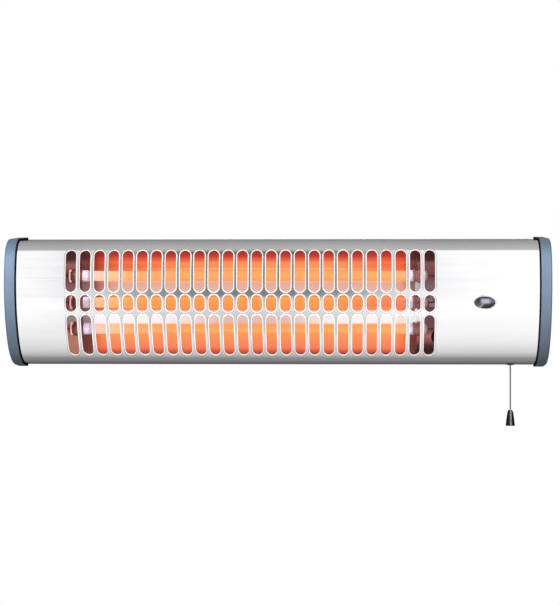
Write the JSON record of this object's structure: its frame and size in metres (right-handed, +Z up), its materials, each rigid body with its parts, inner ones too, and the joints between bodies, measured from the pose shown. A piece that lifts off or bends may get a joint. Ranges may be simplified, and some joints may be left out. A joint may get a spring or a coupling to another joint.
{
  "type": "electric bar heater",
  "caption": "Wall-mounted electric bar heater with a bowed slotted steel front, glowing quartz tubes, moulded end caps, a pull-cord switch and a tilting wall bracket.",
  "frame": {"origin": "middle of the wall bracket's wall face, on the wall", "axes": "+X to the right as seen from the room, +Y into the wall, +Z up"},
  "size_m": [0.53, 0.1017, 0.1886],
  "materials": {
    "stainless": "brushed along its length, satin",
    "zinc_steel": "zinc plated, dull",
    "reflector_metal": "bright rolled",
    "cap_plastic": "moulded, satin",
    "quartz": "clear, glowing when on",
    "hot_wire": "glowing heating wire",
    "white_ceramic": "fired, dull white",
    "wire_sleeve": "silicone sleeve",
    "bare_wire": "nickel plated",
    "white_plastic": "moulded",
    "black_plastic": "moulded, glossy",
    "smoked_lens": "smoked, polished",
    "lamp_glass": "clear, small glow lamp",
    "brass": "rolled",
    "cord_braid": "braided cord"
  },
  "bodies": {
    "bracket": {"pivot_bolt_left": "zinc_steel", "pivot_bolt_right": "zinc_steel", "wall_bracket": "zinc_steel"},
    "knob_left": {"tilt_knob_left": "black_plastic"},
    "knob_right": {"tilt_knob_right": "black_plastic"},
    "heater": {"back_plate": "zinc_steel", "bus_wire": "bare_wire", "cable_gland": "black_plastic", "cap_screw_left_lower": "zinc_steel", "cap_screw_left_upper": "zinc_steel", "cap_screw_right_lower": "zinc_steel", "cap_screw_right_upper": "zinc_steel", "ceramic_end_left_lower": "white_ceramic", "ceramic_end_left_middle": "white_ceramic", "ceramic_end_left_upper": "white_ceramic", "ceramic_end_right_lower": "white_ceramic", "ceramic_end_right_middle": "white_ceramic", "ceramic_end_right_upper": "white_ceramic", "contact_leaf_left": "brass", "contact_leaf_right": "brass", "cord_gland": "black_plastic", "cover_screw_left_lower": "zinc_steel", "cover_screw_left_upper": "zinc_steel", "cover_screw_right_lower": "zinc_steel", "cover_screw_right_upper": "zinc_steel", "earth_screw": "brass", "end_cap_left": "cap_plastic", "end_cap_right": "cap_plastic", "front_cover": "stainless", "heating_coil_lower": "hot_wire", "heating_coil_middle": "hot_wire", "heating_coil_upper": "hot_wire", "indicator_bezel": "black_plastic", "indicator_lens": "smoked_lens", "lead_wire_lower": "wire_sleeve", "lead_wire_middle": "wire_sleeve", "lead_wire_upper": "wire_sleeve", "neon_lamp": "lamp_glass", "neutral_wire": "wire_sleeve", "pivot_lug_left": "zinc_steel", "pivot_lug_right": "zinc_steel", "quartz_tube_lower": "quartz", "quartz_tube_middle": "quartz", "quartz_tube_upper": "quartz", "reflector": "reflector_metal", "return_spring": "bare_wire", "supply_wire": "wire_sleeve", "switch_case": "white_plastic", "switch_cover": "white_plastic", "terminal_block": "white_plastic", "tube_support_left": "zinc_steel", "tube_support_right": "zinc_steel"},
    "pull": {"inner_cord": "cord_braid"},
    "cord": {"pull_cord": "cord_braid", "pull_knob": "black_plastic"},
    "drum": {"switch_drum": "white_plastic"},
    "cam": {"switch_cam": "black_plastic"}
  },
  "joints": [
    {"name": "tilt", "type": "hinge", "parent": "bracket", "child": "heater", "pos_m": [0, -0.014, 0], "axis": [1, 0, 0], "range_deg": [0, 30]},
    {"name": "lock_left", "type": "hinge", "parent": "bracket", "child": "knob_left", "pos_m": [-0.21, -0.014, 0], "axis": [-1, 0, 0], "range_deg": [0, 720]},
    {"name": "lock_right", "type": "hinge", "parent": "bracket", "child": "knob_right", "pos_m": [0.21, -0.014, 0], "axis": [1, 0, 0], "range_deg": [0, 720]},
    {"name": "cord_pull", "type": "slide", "parent": "heater", "child": "pull", "axis": [0, 0, -1], "range_m": [0, 0.0125], "stiffness_N_per_m": 400, "springref_m": -0.01},
    {"name": "cord_swing", "type": "hinge", "parent": "pull", "child": "cord", "pos_m": [0.23, -0.041, -0.0345], "axis": [1, 0, 0], "range_deg": [-35, 35]},
    {"name": "drum_turn", "type": "hinge", "parent": "heater", "child": "drum", "pos_m": [0.222, -0.041, -0.003], "axis": [0, 1, 0], "range_deg": [0, 90]},
    {"name": "cam_turn", "type": "hinge", "parent": "heater", "child": "cam", "pos_m": [0.222, -0.038, -0.003], "axis": [0, 1, 0], "continuous": true}
  ],
  "couplings": [
    {"joint": "cord_swing", "follows": "tilt", "ratio": -1},
    {"joint": "drum_turn", "follows": "cord_pull", "rad_per_m": 125}
  ]
}
